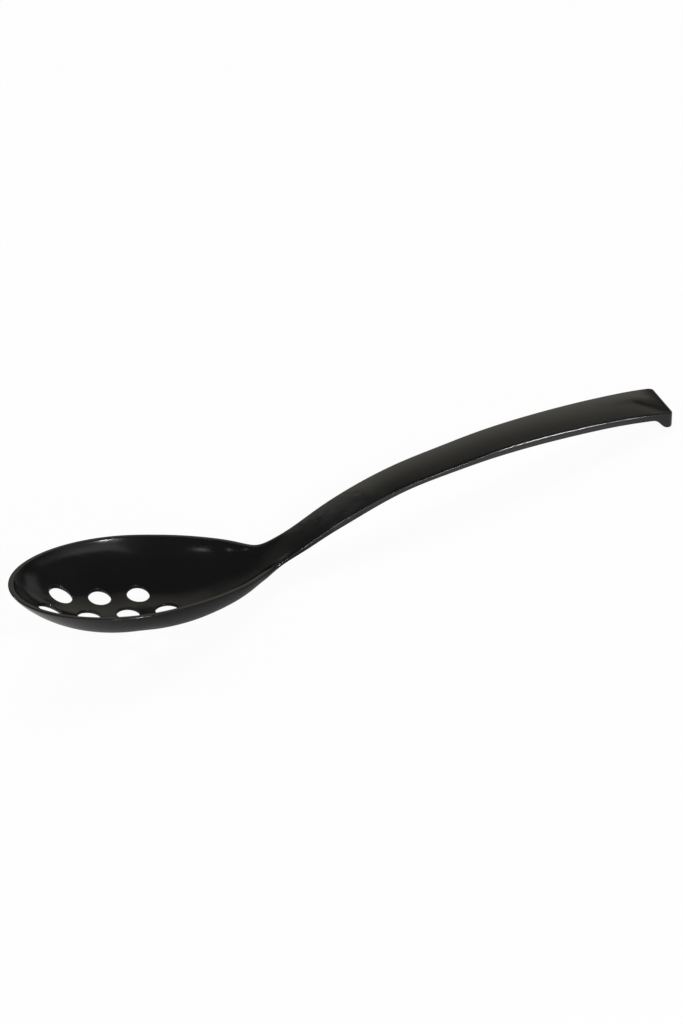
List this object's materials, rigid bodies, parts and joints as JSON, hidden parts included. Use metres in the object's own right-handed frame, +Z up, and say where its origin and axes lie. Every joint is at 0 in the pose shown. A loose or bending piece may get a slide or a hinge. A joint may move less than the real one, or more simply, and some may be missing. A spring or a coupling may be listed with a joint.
{
  "type": "slotted serving spoon",
  "caption": "Perforated serving spoon with a deep oval bowl, round drain holes, a cranked neck and a long crowned handle whose hooked end hangs on a pan rim.",
  "frame": {"origin": "middle of the footprint, on the surface that the spoon lies on", "axes": "+X from the bowl's tip to the handle's end, +Y to the left when looking along +X, +Z up, with the spoon lying on the belly of its bowl and the lip of its hook"},
  "size_m": [0.2562, 0.0676, 0.0364],
  "materials": {
    "plastic": "glossy near-black moulded plastic"
  },
  "bodies": {
    "root": {"bowl": "plastic", "neck": "plastic", "handle": "plastic", "end_hook": "plastic"}
  },
  "joints": []
}
